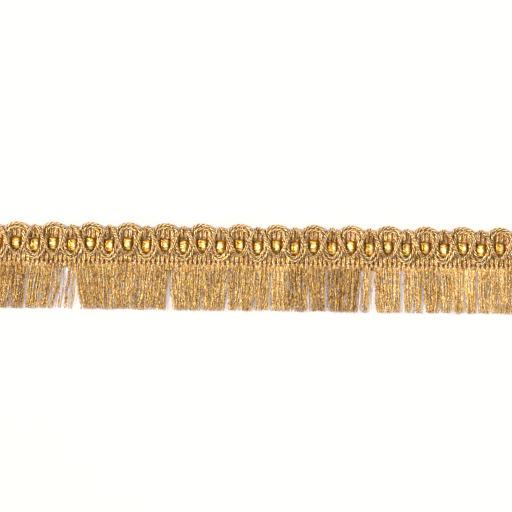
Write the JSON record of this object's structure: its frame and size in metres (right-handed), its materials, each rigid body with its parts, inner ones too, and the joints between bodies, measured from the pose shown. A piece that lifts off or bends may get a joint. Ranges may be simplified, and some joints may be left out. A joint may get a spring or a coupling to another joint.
{
  "type": "gimp-headed metallic fringe trim",
  "caption": "Flat cut length of metallic gold fringe trim: a scalloped gimp heading with a puffed film strip above a short cut fringe.",
  "frame": {"origin": "bottom centre of the whole part, on the surface that it lies on", "axes": "+X along the trim, +Y from the fringe towards the scalloped edge, +Z out of the trim's face"},
  "size_m": [0.2266, 0.038, 0.0048],
  "materials": {
    "ground_yarn": "metallic yarn, knitted in ribs",
    "gimp_yarn": "metallic wrapped gimp cord, soft glitter",
    "film": "creased metallised film, glossy",
    "fringe_yarn": "twisted metallic yarn, cut ends, glittering"
  },
  "bodies": {
    "root": {"heading_ground": "ground_yarn", "film_strip": "film", "scallop_gimp_upper": "gimp_yarn", "scallop_gimp_lower": "gimp_yarn", "loop_gimp": "gimp_yarn", "fringe_skirt": "fringe_yarn"}
  },
  "joints": []
}
